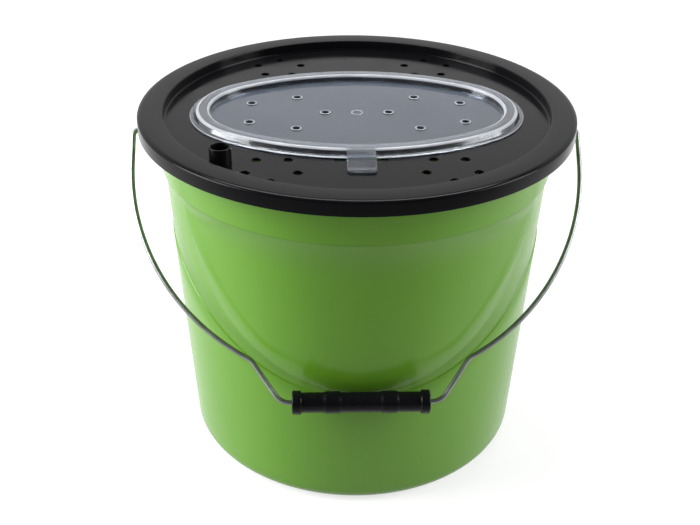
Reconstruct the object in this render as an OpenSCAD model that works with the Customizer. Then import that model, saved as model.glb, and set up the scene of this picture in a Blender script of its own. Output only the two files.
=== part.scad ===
// Round bait bucket with a lift-off lid, an oval hinged hatch, an air line port
// and a wire bail with a tube grip. The origin is under the middle of the base,
// the front, where the bail hangs, is -Y and +Z is up. All sizes are in mm.

/* [Bucket] */
// Outer diameter of the base, measured before its edge is rounded
base_d = 255.4; // [240:0.2:262]
// Clear inner diameter of the mouth at the rim
mouth_d = 285; // [275:0.5:295]
// Height from the floor to the top of the rim
bucket_h = 263.4; // [240:0.2:290]
// Thickness of the side wall
wall = 2.2; // [1.6:0.1:3]
// Thickness of the bottom plate
base_t = 2.4; // [1.8:0.1:4]
// Outer rounding of the edge between base and wall
corner_r = 12; // [8:0.5:18]
// Height of the foot ring that lifts the bottom plate
foot_h = 2; // [1:0.5:4]
// Radius inside the foot ring
foot_in_r = 104; // [90:1:108]
// Distance from the rim down to the lower edge of the collar band
collar_h = 36.4; // [28:0.2:44]
// How far the collar band stands out of the wall below it
collar_out = 1; // [0.6:0.1:1.4]

/* [Rim] */
// Distance from the mouth out to the outer face of the rim
rim_reach = 13.1; // [11:0.1:16]
// Thickness of the rim flange and of its turned-down lip
rim_t = 2; // [1.5:0.1:2.5]
// Height of the turned-down lip
rim_drop = 7; // [6.4:0.1:7]
// Number of stiffening ribs under the rim flange, on the circle with the ears
rim_ribs = 24; // [12:4:32]
// Thickness of a stiffening rib
rib_t = 1.6; // [1:0.1:2.5]

/* [Moulded sweep lines] */
// Depth of the crescent between the two sweep lines
sweep_depth = 0.8; // [0.4:0.1:1]
// Radius of the upper sweep line, seen from the front
sweep_in_r = 120; // [110:1:126]
// Height of the centre of the upper sweep line
sweep_in_z = 226; // [220:1:232]
// Radius of the lower sweep line, seen from the front
sweep_out_r = 161; // [150:1:170]
// Height of the centre of the lower sweep line
sweep_out_z = 260; // [255:1:266]

/* [Bail ears] */
// Distance from the rim down to the axis of the bail
pivot_drop = 17.4; // [16:0.2:20]
// Width of an ear
ear_w = 28.8; // [26:0.2:36]
// Thickness of an ear's plate and side webs
ear_t = 2.6; // [2:0.1:3]
// Radial play of the wire in the ear hole
pivot_play = 0.08; // [0.04:0.01:0.1]

/* [Bail] */
// Diameter of the bail wire
wire_d = 3.5; // [2.5:0.1:4]
// Gap between the lid's skirt and the legs of the bail
leg_gap = 3.25; // [2.5:0.25:6]
// Distance from the pivot axis to the middle of the grip
bail_reach = 201.2; // [195:0.2:215]
// Length of the straight leg below the pivot, where the hoop starts
leg_drop = 27; // [20:1:32]
// Half the width of the hoop where it drops to the grip
shoulder_x = 78.5; // [74:0.5:90]
// Slope of the drop to the grip, from level
shoulder_slope = 55.4; // [45:0.2:65]
// Radius of the bends beside the grip
shoulder_r = 12; // [8:0.5:16]
// Radius of the bend between leg and pivot
elbow_r = 5; // [3:0.5:6]
// Radius of the hooked end behind the ear
hook_r = 2.5; // [2:0.1:3]
// Length of the hooked end past its bend
hook_tail = 5.5; // [3:0.5:6]

/* [Grip] */
// Length of the grip
grip_l = 95; // [80:0.5:97]
// Diameter of the grip between its swellings
grip_d = 14; // [12:0.1:16]
// Diameter of the two swellings
grip_ring_d = 15.4; // [14:0.1:17]
// Length of a swelling
grip_ring_l = 13; // [8:0.5:18]
// Distance between the middles of the two swellings
grip_ring_gap = 39.4; // [30:0.2:46]
// Diameter of the end collars
grip_end_d = 16.6; // [15:0.1:19]
// Length of an end collar
grip_end_l = 6; // [4:0.5:9]
// Radial play of the grip on the wire
grip_play = 0.1; // [0.05:0.01:0.1]
// Gap between the grip and the bucket at rest
grip_rest_gap = 0.4; // [0.3:0.1:1]

/* [Lid] */
// Thickness of the lid
lid_t = 2; // [1.5:0.1:2.5]
// Thickness of the skirt and of the recess wall
skirt_t = 1.8; // [1.4:0.1:2.2]
// Height of the lid's rim from the bottom of the skirt to its top
lid_h = 10.7; // [10:0.1:13]
// Depth of the round recess in the middle of the lid
recess_h = 7.4; // [6:0.1:9]
// Rounding of the lid's outer top edge
lid_edge_r = 2; // [1:0.1:2]
// Play between skirt and rim
skirt_play = 0.6; // [0.5:0.05:0.8]
// How far the bead inside the skirt stands in
bead = 0.25; // [0.1:0.05:0.3]
// Play between the recess wall and the mouth of the bucket
plug_play = 0.4; // [0.3:0.05:0.6]
// Gap between the underside of the lid and the top of the rim
seat_gap = 0.3; // [0.2:0.05:0.5]

/* [Vent holes in the lid] */
// Diameter of a vent hole
vent_d = 6.2; // [4:0.1:8]
// Radius of the ring of five holes
vent_ring_r = 18.1; // [16:0.1:20]
// Distance of a ring from the middle plane, sideways
vent_x = 59.1; // [55:0.1:66]
// Distance of a ring from the middle plane, front to back
vent_y = 95.45; // [94:0.05:99]

/* [Hatch] */
// Length of the hatch over its flange
hatch_l = 242.6; // [230:0.2:250]
// Width of the hatch over its flange
hatch_w = 160; // [152:0.2:161]
// Radius of the rounded ends of the hatch
hatch_end_r = 62.3; // [56:0.1:66]
// Thickness of the clear sheet
hatch_t = 1.4; // [1:0.1:1.6]
// Width of the flange round the ridge
flange_w = 2.8; // [2:0.1:4]
// Thickness of the flange
flange_t = 1.1; // [0.8:0.1:1.6]
// Gap between the flange and the lid under it
flange_gap = 0.2; // [0.1:0.05:0.4]
// Height of the ridge above the floor of the lid
ridge_h = 5.1; // [4.6:0.1:6.5]
// Width of the flat top of the ridge
ridge_w = 9.2; // [8.5:0.1:11]
// How far the outer side of the ridge leans in
ridge_lean = 2.4; // [1:0.1:3]
// Height of the inner panel above the floor of the lid
panel_up = 0.4; // [0:0.1:1]
// Diameter of a hole in the panel
pin_hole_d = 4.8; // [3:0.1:6]
// Diameter of the raised ring round a hole in the panel
pin_ring_d = 7.8; // [7:0.1:9]
// Height of that ring
pin_ring_h = 0.6; // [0.3:0.1:1]
// Diameter of the round mark in the middle of the panel
gate_d = 8.6; // [6:0.1:12]

/* [Hatch seat, hinge and latch] */
// Thickness of the upstand round the opening in the lid
upstand_t = 1.8; // [1.4:0.1:2.2]
// Play between the upstand and the inside of the ridge
upstand_play = 0.6; // [0.5:0.05:0.8]
// Gap between the top of the upstand and the ridge over it
upstand_gap = 1.1; // [1:0.1:2]
// Length of the hinge slot in the lid
hinge_slot_l = 60; // [56:0.5:66]
// Width of the hinge slot
hinge_slot_w = 9; // [8.6:0.1:10]
// Width of the hinge tongue
tongue_w = 48; // [36:0.5:52]
// Thickness of the hinge tongue
tongue_t = 1.6; // [1.2:0.1:2]
// How far the tongue reaches back under the lid
tongue_hook = 7.6; // [6.5:0.1:9]
// Width of the latch tab
tab_w = 19.4; // [16:0.2:24]
// How far the latch tab stands out of the flange
tab_out = 21.5; // [18:0.5:24]
// Thickness of the latch tab
tab_t = 1.5; // [1.2:0.1:2]
// Length of the latch slot in the lid
latch_slot_l = 35.4; // [30:0.2:40]
// Width of the latch slot
latch_slot_w = 5.6; // [5:0.1:7]
// How far the latch tongue reaches below the floor of the lid
latch_depth = 2.4; // [1.5:0.1:4]

/* [Air line port] */
// Outer diameter of the port
port_d = 14.8; // [13:0.1:17]
// Bore of the port
port_bore = 12.4; // [8:0.1:12.6]
// Height of the port above the floor of the lid
port_h = 12; // [9:0.1:16]
// Distance of the port from the middle, to the left
port_x = 93; // [91:0.5:95]
// Distance of the port from the middle, to the front
port_y = 86; // [85:0.5:88]
// Diameter of the flange under the lid
port_flange_d = 18.6; // [17.5:0.1:20]
// Thickness of that flange
port_flange_t = 2; // [1.5:0.1:3]

/* [Hidden] */
$fn = 96;

// How far the forms of one moulding reach into each other, and cuts past a face
overlap = 1;

// Bucket
base_r = base_d / 2;
mouth_r = mouth_d / 2;
rise = (mouth_r + wall - collar_out - base_r) / bucket_h;
draft = atan(rise);
wall_across = wall / cos(draft);
collar_z = bucket_h - collar_h;
floor_z = foot_h + base_t;
rim_r = mouth_r + rim_reach;
lip_z = bucket_h - rim_drop;
rim_round = 1.6;
collar_lead = 1.4;
collar_ramp = 1.8;
collar_foot_z = collar_z - collar_lead;
inner_step = 2;
function wall_r(z) = base_r + z * rise;
function bore_r(z) = wall_r(z) - wall_across + (z > collar_z ? collar_out : 0);

// Ears and bail
pivot_z = bucket_h - pivot_drop;
ear_inset = 0.7;
ear_out_x = rim_r - ear_inset;
ear_in_x = ear_out_x - ear_t;
wire_r = wire_d / 2;
bend_swell = 0.03;
bend_overrun = 0.2;
lid_r = rim_r + skirt_play + skirt_t;
leg_x = lid_r + leg_gap + wire_r;
hook_gap = 1;
hook_x = ear_in_x - hook_gap - hook_r;
straight_down = 270;
slope_head = 180 + shoulder_slope;
hoop_end = acos(shoulder_x / leg_x);
hoop_head = straight_down - hoop_end;
hoop_foot = [shoulder_x, -leg_drop - leg_x * sin(hoop_end)];
bend_in_c = hoop_foot + shoulder_r * [-sin(hoop_head), cos(hoop_head)];
slope_top = bend_in_c + shoulder_r * [sin(slope_head), -cos(slope_head)];
slope_foot_y = -bail_reach + shoulder_r * (1 + cos(slope_head));
slope_l = (slope_foot_y - slope_top[1]) / sin(slope_head);
slope_foot = slope_top + slope_l * [cos(slope_head), sin(slope_head)];
bend_out_c = slope_foot + shoulder_r * [sin(slope_head), -cos(slope_head)];
rest_span = base_r + pivot_z * rise + (grip_ring_d / 2 + grip_rest_gap) / cos(draft);
bail_rest = asin(rest_span * cos(draft) / bail_reach) - draft;

// Lid
lid_top = bucket_h + seat_gap + lid_t;
skirt_z = lid_top - lid_h;
deck_z = lid_top - recess_h;
deck_low = deck_z - lid_t;
skirt_in_r = lid_r - skirt_t;
plug_r = bore_r(deck_low) - plug_play;
recess_r = plug_r - skirt_t;
inner_edge_r = 1;
deck_fillet = 1.4;
bead_z = lip_z - 0.2;

// Hatch: its oval of two end arcs and two long side arcs, and where they meet
oval_half_l = hatch_l / 2 - hatch_end_r;
oval_half_w = hatch_w / 2;
oval_side_r = (oval_half_l ^ 2 + oval_half_w ^ 2 - hatch_end_r ^ 2)
    / (2 * (oval_half_w - hatch_end_r));
oval_joint = atan2(oval_side_r - oval_half_w, oval_half_l);

// Hatch, in steps inward from the edge of its flange
flange_z = deck_z + flange_gap;
flange_top = flange_z + flange_t;
ridge_foot = flange_w;
ridge_out = ridge_foot + ridge_lean;
ridge_in = ridge_out + ridge_w;
ridge_top = deck_z + ridge_h;
ridge_low = ridge_top - hatch_t;
ridge_swell = 0.02;
ridge_overrun = 0.3;
panel_z = deck_z + panel_up;
panel_low = panel_z - hatch_t;
gate_ring_h = 0.3;
gate_ring_w = 0.8;
upstand_in = ridge_in - hatch_t - upstand_play;
upstand_out = upstand_in - upstand_t;
upstand_top = ridge_low - upstand_gap;
pin_holes = [[77.4, 18], [43.9, 29.4], [77.4, -18], [43.9, -29.4], [23.1, 0]];

// Hinge and latch, measured back and front from the edge of the hatch
hinge_out = 0.8;
hinge_y = hatch_w / 2 + hinge_out;
hinge_slot_shift = 0.5;
tongue_gap = 0.4;
tongue_low = deck_low - tongue_gap - hatch_t;
latch_in = 0.4;
latch_y = hatch_w / 2 - latch_in;
latch_slot_lead = 3;
tab_round = 2.5;
tab_shelf = 4;
tab_root_h = 0.3;
tab_lip_t = 1.4;
tab_lip_up = 0.2;
tab_tip_up = 0.8;
tab_tip_y = hatch_w / 2 + tab_out;
tab_root_y = hatch_w / 2 - ridge_out - overlap;
tab_tip_z = flange_top + tab_tip_up;
tab_fall = (ridge_top - tab_tip_z) / (tab_tip_y - tab_root_y - tab_shelf);

// Rounds the outer top corner of a profile; its corner is cut off from [x - r, y]
// to [x, y - r] in the polygon. With flip the round is on the inner side.
module corner_round(x, y, r, flip = false) {
    side = flip ? -1 : 1;
    translate([x - side * r, y - r])
        intersection() {
            circle(r);
            translate([flip ? -r : 0, 0]) square(r);
        }
}

// Half profile of a tapered cup filled solid, from z0 to z1, with a rounded foot
module cup_profile(foot_r, z0, z1, round_r) {
    foot_x = foot_r + z0 * rise;
    round_x = foot_x + round_r * (rise - 1 / cos(draft));
    touch = [round_x + round_r * cos(draft), z0 + round_r * (1 - sin(draft))];
    polygon([[0, z0], [round_x, z0], touch, [foot_r + z1 * rise, z1], [0, z1]]);
    translate([round_x, z0 + round_r]) circle(round_r);
}

// Tapered band that stands out of the wall above the collar line
module collar_profile() {
    polygon([
        [wall_r(0) / 2, collar_z], [wall_r(collar_foot_z), collar_foot_z],
        [wall_r(collar_z) + collar_out, collar_foot_z + collar_ramp],
        [wall_r(bucket_h) + collar_out, bucket_h], [wall_r(0) / 2, bucket_h],
    ]);
}

// Rim flange with its turned-down lip and rounded outer edge
module rim_profile() {
    root_x = wall_r(bucket_h) - overlap;
    polygon([
        [root_x, bucket_h - rim_t], [root_x, bucket_h], [rim_r - rim_round, bucket_h],
        [rim_r, bucket_h - rim_round], [rim_r, lip_z], [rim_r - rim_t, lip_z],
        [rim_r - rim_t, bucket_h - rim_t],
    ]);
    corner_round(rim_r, bucket_h, rim_round);
}

// The crescent between the two sweep lines, through the bucket from front to back
module sweep_prism() {
    rotate([90, 0, 0])
        linear_extrude(3 * mouth_r, center = true)
            difference() {
                translate([0, sweep_out_z]) circle(sweep_out_r, $fn = 180);
                translate([0, sweep_in_z]) circle(sweep_in_r, $fn = 180);
                translate([-2 * mouth_r, collar_z]) square([4 * mouth_r, bucket_h]);
            }
}

// A plate with a round foot hung under the rim, boxed in by two side webs
module ear() {
    web_z = pivot_z - ear_w / 4;
    translate([ear_in_x, 0, 0])
        rotate([90, 0, 90])
            linear_extrude(ear_t) {
                translate([0, pivot_z]) circle(d = ear_w);
                translate([-ear_w / 2, pivot_z])
                    square([ear_w, bucket_h - rim_t / 2 - pivot_z]);
            }
    for (side = [-1, 1])
        translate([mouth_r, side * (ear_w - ear_t) / 2 - ear_t / 2, web_z])
            cube([ear_in_x - mouth_r + ear_t / 2, ear_t, bucket_h - rim_t / 2 - web_z]);
}

module bucket() {
    step_low_z = collar_z - inner_step / 2;
    step_top_z = collar_z + inner_step / 2;
    over_z = bucket_h + overlap;
    color([0.47, 0.74, 0.31])
        difference() {
            union() {
                difference() {
                    rotate_extrude($fn = 180) cup_profile(base_r, 0, bucket_h, corner_r);
                    difference() {
                        sweep_prism();
                        cylinder(h = bucket_h, r1 = wall_r(0) - sweep_depth,
                                 r2 = wall_r(bucket_h) - sweep_depth, $fn = 180);
                    }
                }
                rotate_extrude($fn = 180) {
                    collar_profile();
                    rim_profile();
                }
                for (i = [0 : rim_ribs - 1])
                    if (i % (rim_ribs / 2) != 0)
                        rotate(i * 360 / rim_ribs)
                            translate([mouth_r, -rib_t / 2, lip_z + overlap])
                                cube([rim_reach - rim_t / 2, rib_t,
                                      rim_drop - overlap - rim_t / 2]);
                for (side = [0, 180]) rotate(side) ear();
            }
            rotate_extrude($fn = 180) {
                cup_profile(base_r - wall_across, floor_z, step_top_z, corner_r - wall);
                polygon([
                    [0, collar_z], [bore_r(step_low_z), step_low_z],
                    [bore_r(step_top_z), step_top_z],
                    [bore_r(over_z), over_z], [0, over_z],
                ]);
            }
            translate([0, 0, -overlap])
                cylinder(h = foot_h + overlap, r1 = foot_in_r + overlap / 2,
                         r2 = foot_in_r - foot_h / 2);
            for (side = [0, 180])
                rotate(side)
                    translate([ear_in_x - overlap, 0, pivot_z])
                        rotate([0, 90, 0])
                            cylinder(h = ear_t + 2 * overlap, r = wire_r + pivot_play);
        }
}

// Straight piece of wire between two points of the bail's own plane
module wire_run(from, to) {
    step = to - from;
    translate([from[0], from[1], 0])
        rotate([0, 90, atan2(step[1], step[0])]) cylinder(h = norm(step), r = wire_r);
}

// Bent piece of wire, a hair fatter, that runs a little over the pieces it joins
module wire_bend(centre, bend_r, from_angle, to_angle, swell = bend_swell) {
    over = bend_overrun / bend_r * 180 / PI;
    translate([centre[0], centre[1], 0])
        rotate(from_angle - over)
            rotate_extrude(angle = to_angle - from_angle + 2 * over)
                translate([bend_r, 0]) circle(wire_r + swell, $fn = 48);
}

// Right half of the bail, flat, with the pivot axis on X and the grip below it
module half_bail() {
    elbow_x = leg_x - elbow_r;
    bend_x = hook_x + hook_r;
    wire_run([hook_x, -hook_r - hook_tail], [hook_x, -hook_r]);
    wire_bend([bend_x, -hook_r], hook_r, 90, 180);
    wire_run([bend_x, 0], [elbow_x, 0]);
    wire_bend([elbow_x, -elbow_r], elbow_r, 0, 90);
    wire_run([leg_x, -leg_drop], [leg_x, -elbow_r]);
    wire_bend([0, -leg_drop], leg_x, -hoop_end, 0);
    wire_bend(bend_in_c, shoulder_r, hoop_head - 90, slope_head - 90, 2 * bend_swell);
    wire_run(slope_foot, slope_top);
    wire_bend(bend_out_c, shoulder_r, straight_down, slope_head + 90);
}

// Puts the bail's plane where it hangs, leaning forward on the bucket
module hang() {
    translate([0, 0, pivot_z]) rotate([90 - bail_rest, 0, 0]) children();
}

module bail_wire() {
    color([0.76, 0.79, 0.76])
        hang() {
            wire_run([-bend_out_c[0], -bail_reach], [bend_out_c[0], -bail_reach]);
            half_bail();
            mirror([1, 0, 0]) half_bail();
        }
}

// Outline points of one half of the grip, from its middle out to its end
function grip_half() =
    let (
        ring_in = (grip_ring_gap - grip_ring_l) / 2,
        ring_out = (grip_ring_gap + grip_ring_l) / 2,
        ring_ramp = 2,
        end_ramp = 0.6,
        edge = 1,
        end_r = grip_end_d / 2,
        end = grip_l / 2
    ) [
        [grip_d / 2, ring_in], [grip_ring_d / 2, ring_in + ring_ramp],
        [grip_ring_d / 2, ring_out - ring_ramp], [grip_d / 2, ring_out],
        [grip_d / 2, end - grip_end_l - end_ramp], [end_r, end - grip_end_l],
        [end_r, end - edge], [end_r - edge, end], [wire_r + grip_play, end],
    ];

module bail_grip() {
    half = grip_half();
    last = len(half) - 1;
    color([0.09, 0.09, 0.1])
        hang()
            translate([0, -bail_reach, 0])
                rotate([0, 90, 0])
                    rotate_extrude()
                        polygon([
                            for (i = [0 : last]) half[i],
                            for (i = [last : -1 : 0]) [half[i][0], -half[i][1]],
                        ]);
}

// Oval of four arcs, drawn in by some step from the edge of the hatch
module oval(step) {
    end_r = hatch_end_r - step;
    side_r = oval_side_r - step;
    side_c = oval_side_r - oval_half_w;
    joint_x = oval_half_l + end_r * cos(oval_joint);
    for (side = [-1, 1]) translate([side * oval_half_l, 0]) circle(end_r);
    intersection() {
        translate([0, -side_c]) circle(side_r, $fn = 240);
        translate([0, side_c]) circle(side_r, $fn = 240);
        square([2 * joint_x, 2 * side_r], center = true);
    }
}

// Flat ring between two steps in from the edge of the hatch
module oval_ring(out_step, in_step, z0, z1) {
    translate([0, 0, z0])
        linear_extrude(z1 - z0)
            difference() {
                oval(out_step);
                oval(in_step);
            }
}

// Section of the lid from its recess to the bottom of its skirt
module lid_profile() {
    edge_r = lid_edge_r;
    difference() {
        union() {
            polygon([
                [0, deck_low], [0, deck_z], [recess_r - deck_fillet, deck_z],
                [recess_r, deck_z + deck_fillet], [recess_r, lid_top - inner_edge_r],
                [recess_r + inner_edge_r, lid_top], [lid_r - edge_r, lid_top],
                [lid_r, lid_top - edge_r], [lid_r, skirt_z], [skirt_in_r - bead, skirt_z],
                [skirt_in_r - bead, bead_z - bead], [skirt_in_r, bead_z],
                [skirt_in_r, lid_top - lid_t], [plug_r, lid_top - lid_t], [plug_r, deck_low],
            ]);
            corner_round(lid_r, lid_top, edge_r);
            corner_round(recess_r, lid_top, inner_edge_r, flip = true);
        }
        translate([recess_r - deck_fillet, deck_z + deck_fillet]) circle(deck_fillet);
    }
}

// Round hole through the floor of the lid
module deck_hole(d) {
    translate([0, 0, deck_low - overlap]) cylinder(h = lid_t + 2 * overlap, d = d);
}

// Square hole through the floor of the lid, from the corner nearest -X and -Y
module deck_slot(x, y, l, w) {
    translate([x, y, deck_low - overlap]) cube([l, w, lid_t + 2 * overlap]);
}

// One ring of five vent holes, with one hole pointing straight out
module vent_ring() {
    for (i = [0 : 4])
        rotate(-90 + i * 72)
            translate([vent_ring_r, 0, 0]) deck_hole(vent_d);
}

module lid() {
    color([0.13, 0.13, 0.14])
        difference() {
            union() {
                rotate_extrude($fn = 180) lid_profile();
                oval_ring(upstand_out, upstand_in, deck_low, upstand_top);
            }
            translate([0, 0, deck_low - overlap])
                linear_extrude(lid_t + 2 * overlap) oval(upstand_in);
            deck_slot(-hinge_slot_l / 2, hinge_y + hinge_slot_shift - hinge_slot_w / 2,
                      hinge_slot_l, hinge_slot_w);
            deck_slot(-latch_slot_l / 2, -latch_y - latch_slot_lead,
                      latch_slot_l, latch_slot_w);
            for (sx = [-1, 1])
                for (sy = [0, 1])
                    mirror([0, sy, 0]) translate([sx * vent_x, -vent_y, 0]) vent_ring();
            translate([-port_x, -port_y, 0]) deck_hole(port_d);
        }
}

module air_port() {
    top = deck_z + port_h;
    low = deck_low - port_flange_t;
    out_r = port_d / 2;
    in_r = port_bore / 2;
    edge_h = 0.6;
    edge_w = 0.4;
    color([0.07, 0.07, 0.07])
        translate([-port_x, -port_y, 0])
            rotate_extrude()
                polygon([
                    [in_r, low], [port_flange_d / 2, low], [port_flange_d / 2, deck_low],
                    [out_r, deck_low], [out_r, top - edge_h], [out_r - edge_w, top],
                    [in_r + edge_w, top], [in_r, top - edge_h],
                ]);
}

// Flange, hollow ridge and the foot of the inner wall, measured in from the edge
module ridge_profile(swell) {
    wall_in = ridge_in - hatch_t;
    lean_in = 0.6 * hatch_t;
    polygon([
        [swell, flange_z - swell], [swell, flange_top + swell],
        [swell - ridge_foot, flange_top + swell], [swell - ridge_out, ridge_top + swell],
        [-swell - ridge_in, ridge_top + swell], [-swell - ridge_in, panel_low - swell],
        [swell - wall_in, panel_low - swell], [swell - wall_in, ridge_low - swell],
        [-swell - ridge_out - lean_in, ridge_low - swell],
        [-swell - ridge_foot - hatch_t, flange_z - swell],
    ]);
}

// The ridge in four arcs; the end arcs are a hair fatter and run over the side arcs
module ridge() {
    end_angle = oval_joint + ridge_overrun;
    for (turn = [0, 180]) {
        rotate(turn)
            translate([oval_half_l, 0, 0])
                rotate(-end_angle)
                    rotate_extrude(angle = 2 * end_angle)
                        translate([hatch_end_r, 0]) ridge_profile(ridge_swell);
        rotate(turn)
            translate([0, oval_half_w - oval_side_r, 0])
                rotate(oval_joint)
                    rotate_extrude(angle = 180 - 2 * oval_joint)
                        translate([oval_side_r, 0]) ridge_profile(0);
    }
}

// Latch tab that runs off the ridge, with a lip at its tip and a tongue below
module latch_tab() {
    shelf_y = tab_root_y + tab_shelf;
    lip_y = tab_tip_y - tab_lip_t;
    lip_low = flange_z + tab_lip_up;
    intersection() {
        rotate([90, 0, -90])
            linear_extrude(tab_w, center = true)
                polygon([
                    [tab_root_y, ridge_top - tab_t], [tab_root_y, ridge_top + tab_root_h],
                    [shelf_y, ridge_top], [tab_tip_y, tab_tip_z], [tab_tip_y, lip_low],
                    [lip_y, lip_low], [lip_y, tab_tip_z + tab_fall * tab_lip_t - tab_t],
                    [shelf_y, ridge_top - tab_t],
                ]);
        linear_extrude(2 * ridge_top) {
            translate([-tab_w / 2, -tab_tip_y + tab_round]) square([tab_w, tab_tip_y]);
            for (side = [-1, 1])
                translate([side * (tab_w / 2 - tab_round), -tab_tip_y + tab_round])
                    circle(tab_round);
            translate([-tab_w / 2 + tab_round, -tab_tip_y])
                square([tab_w - 2 * tab_round, tab_tip_y]);
        }
    }
    translate([-tab_w / 2, -latch_y, deck_low - latch_depth])
        cube([tab_w, hatch_t, flange_top - deck_low + latch_depth]);
}

// Tongue that drops through the hinge slot and hooks back under the lid
module hinge_tongue() {
    translate([-tongue_w / 2, hinge_y - tongue_t / 2, tongue_low])
        cube([tongue_w, tongue_t, flange_top - tongue_low]);
    translate([-tongue_w / 2, hinge_y - tongue_t / 2, tongue_low])
        cube([tongue_w, tongue_hook + tongue_t / 2, hatch_t]);
    translate([-tongue_w / 2, hatch_w / 2 - ridge_foot - overlap, flange_z])
        cube([tongue_w, ridge_foot + overlap + hinge_out + tongue_t / 2, flange_t]);
}

module hatch() {
    color([0.72, 0.79, 0.86, 0.6])
        difference() {
            union() {
                ridge();
                translate([0, 0, panel_low]) linear_extrude(hatch_t) oval(ridge_in - hatch_t / 2);
                latch_tab();
                hinge_tongue();
                for (side = [-1, 1])
                    for (p = pin_holes)
                        translate([side * p[0], p[1], panel_low])
                            cylinder(h = hatch_t + pin_ring_h, d = pin_ring_d);
                translate([0, 0, panel_low]) cylinder(h = hatch_t + gate_ring_h, d = gate_d);
            }
            for (side = [-1, 1])
                for (p = pin_holes)
                    translate([side * p[0], p[1], panel_low - overlap])
                        cylinder(h = hatch_t + pin_ring_h + 2 * overlap, d = pin_hole_d);
            translate([0, 0, panel_z])
                cylinder(h = overlap, d = gate_d - 2 * gate_ring_w);
        }
}

bucket();
bail_wire();
bail_grip();
lid();
air_port();
hatch();
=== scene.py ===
"""A bait bucket with a clear hatch in its lid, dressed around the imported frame.

Lengths are in metres and angles in degrees. The axes are those of the frame: +X runs along the
bail's pivots and the hatch, the bail hangs in front at -Y, and the bucket stands on z = 0.
"""
from math import acos, asin, atan, atan2, ceil, cos, degrees, hypot, pi, radians, sin, sqrt, tan

import bmesh
import bpy
from mathutils import Matrix, Vector
from mathutils.geometry import tessellate_polygon


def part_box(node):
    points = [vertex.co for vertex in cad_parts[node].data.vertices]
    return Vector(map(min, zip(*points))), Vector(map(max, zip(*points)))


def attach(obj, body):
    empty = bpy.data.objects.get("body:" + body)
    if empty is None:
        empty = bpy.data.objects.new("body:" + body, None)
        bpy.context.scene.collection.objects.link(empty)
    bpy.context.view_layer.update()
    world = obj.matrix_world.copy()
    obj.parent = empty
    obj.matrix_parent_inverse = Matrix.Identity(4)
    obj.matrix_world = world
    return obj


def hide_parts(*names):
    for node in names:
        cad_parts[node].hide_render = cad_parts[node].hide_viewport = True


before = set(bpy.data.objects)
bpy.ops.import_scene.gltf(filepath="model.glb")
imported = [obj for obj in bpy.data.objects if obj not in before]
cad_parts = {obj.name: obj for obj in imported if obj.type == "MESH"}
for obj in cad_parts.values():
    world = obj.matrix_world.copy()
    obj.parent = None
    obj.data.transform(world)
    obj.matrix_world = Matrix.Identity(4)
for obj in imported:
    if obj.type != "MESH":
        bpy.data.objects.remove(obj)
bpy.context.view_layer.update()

# ---------------------------------------------------------------- sizes taken from the frame
BUCKET_LOW, BUCKET_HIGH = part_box("bucket")
LID_LOW, LID_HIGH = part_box("lid")
PORT_LOW, PORT_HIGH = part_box("air_port")
GRIP_LOW, GRIP_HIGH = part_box("bail_grip")

# ---------------------------------------------------------------- bucket
RIM_TOP = BUCKET_HIGH[2]
RIM_R = BUCKET_HIGH[0]
MOUTH_R = 0.1425
WALL = 0.0022
BASE_R = 0.1277
COLLAR_OUT = 0.001
COLLAR_Z = 0.227
COLLAR_CHAMFER = 0.0014
FOOT_H = 0.002
FOOT_IN_R = 0.104
FLOOR_Z = 0.0044
CORNER_R = 0.012
RIM_T = 0.002
LIP_Z = 0.2564
RIB_COUNT = 24
RIB_T = 0.0016
RISE = (MOUTH_R + WALL - COLLAR_OUT - BASE_R) / RIM_TOP
DRAFT = degrees(atan(RISE))

# The two moulded sweep lines, circles when seen from the front, and the crescent between them
SWEEP_DEPTH = 0.0008
SWEEP_STEP = 0.0013
SWEEP_IN_R = 0.120
SWEEP_IN_Z = 0.226
SWEEP_OUT_R = 0.161
SWEEP_OUT_Z = 0.260

# ---------------------------------------------------------------- bail ears
PIVOT_Z = 0.246
EAR_W = 0.0288
EAR_T = 0.0026
EAR_OUT_X = RIM_R - 0.0007
EAR_HOLE_R = 0.00183

# ---------------------------------------------------------------- bail
WIRE_R = 0.00175
LEG_X = 0.163
HOOK_R = 0.0025
HOOK_TAIL = 0.0055
HOOK_X = EAR_OUT_X - EAR_T - 0.001 - HOOK_R
ELBOW_R = 0.005
LEG_DROP = 0.027
SHOULDER_X = 0.0785
SHOULDER_SLOPE = 55.4
SHOULDER_R = 0.012
BAIL_REACH = 0.2012

# ---------------------------------------------------------------- grip
GRIP_L = GRIP_HIGH[0] - GRIP_LOW[0]
GRIP_R = 0.007
GRIP_RING_R = 0.0077
GRIP_RING_L = 0.013
GRIP_RING_X = 0.0197
GRIP_END_R = 0.0083
GRIP_END_L = 0.006
GRIP_BORE_R = 0.00185
GRIP_AXIS = (0, (GRIP_LOW[1] + GRIP_HIGH[1]) / 2, (GRIP_LOW[2] + GRIP_HIGH[2]) / 2)
BAIL_REST = degrees(atan2(-GRIP_AXIS[1], PIVOT_Z - GRIP_AXIS[2]))

# ---------------------------------------------------------------- lid
LID_R = LID_HIGH[0]
LID_TOP = LID_HIGH[2]
LID_T = 0.002
SKIRT_Z = LID_LOW[2]
SKIRT_T = 0.0018
DECK_Z = 0.2583
DECK_LOW = DECK_Z - LID_T
RECESS_R = 0.13987
DECK_FILLET = 0.0014
LID_EDGE_R = 0.002
CREST_W = 0.0036
DECK_EDGE_R = 0.136
VENT_R = 0.0031
VENT_RING_R = 0.0181
VENT_X = 0.0591
VENT_Y = 0.09545
HOLE_ROUND = 0.00035

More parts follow.
